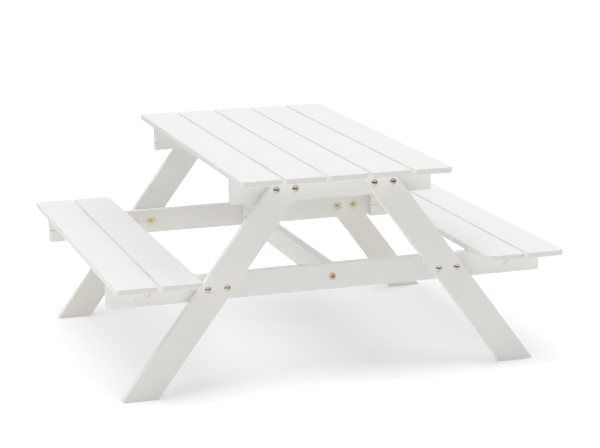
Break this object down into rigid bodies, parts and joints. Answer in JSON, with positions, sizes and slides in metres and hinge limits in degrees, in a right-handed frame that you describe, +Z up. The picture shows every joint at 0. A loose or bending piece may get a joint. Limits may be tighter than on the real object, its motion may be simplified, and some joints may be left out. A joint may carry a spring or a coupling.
{
  "type": "kids picnic table",
  "caption": "Low picnic table for children: slatted tabletop and two slatted benches carried by bolted end frames with sloping legs, tied by a centre stretcher.",
  "frame": {"origin": "on the floor, under the middle of the tabletop", "axes": "+Z up; X runs across the table from the left bench to the right bench; +Y runs along the planks from the front frame to the back frame"},
  "size_m": [1.057, 0.905, 0.5],
  "materials": {
    "white_painted_wood": "satin opaque white paint on planed softwood",
    "bright_zinc": "bright zinc plate on steel",
    "yellow_zinc": "yellow passivated zinc plate on steel"
  },
  "bodies": {
    "root": {"tabletop_plank_1": "white_painted_wood", "tabletop_plank_2": "white_painted_wood", "tabletop_plank_3": "white_painted_wood", "tabletop_plank_4": "white_painted_wood", "tabletop_plank_5": "white_painted_wood", "top_rail_front": "white_painted_wood", "top_rail_back": "white_painted_wood", "bench_rail_front": "white_painted_wood", "bench_rail_back": "white_painted_wood", "leg_front_left": "white_painted_wood", "leg_front_right": "white_painted_wood", "leg_back_left": "white_painted_wood", "leg_back_right": "white_painted_wood", "centre_stretcher": "white_painted_wood", "bench_left_plank_outer": "white_painted_wood", "bench_left_plank_inner": "white_painted_wood", "bench_right_plank_outer": "white_painted_wood", "bench_right_plank_inner": "white_painted_wood", "bench_left_batten_front": "white_painted_wood", "bench_left_batten_back": "white_painted_wood", "bench_right_batten_front": "white_painted_wood", "bench_right_batten_back": "white_painted_wood", "leg_top_bolts": "bright_zinc", "leg_bench_bolts": "bright_zinc", "batten_bolts": "bright_zinc", "leg_top_washers": "yellow_zinc", "leg_top_nuts": "yellow_zinc", "leg_bench_washers": "yellow_zinc", "leg_bench_nuts": "yellow_zinc", "batten_washers": "yellow_zinc", "batten_nuts": "yellow_zinc", "stretcher_bolts": "yellow_zinc", "stretcher_barrel_nuts": "yellow_zinc", "tabletop_screws": "yellow_zinc", "bench_screws": "yellow_zinc"}
  },
  "joints": []
}
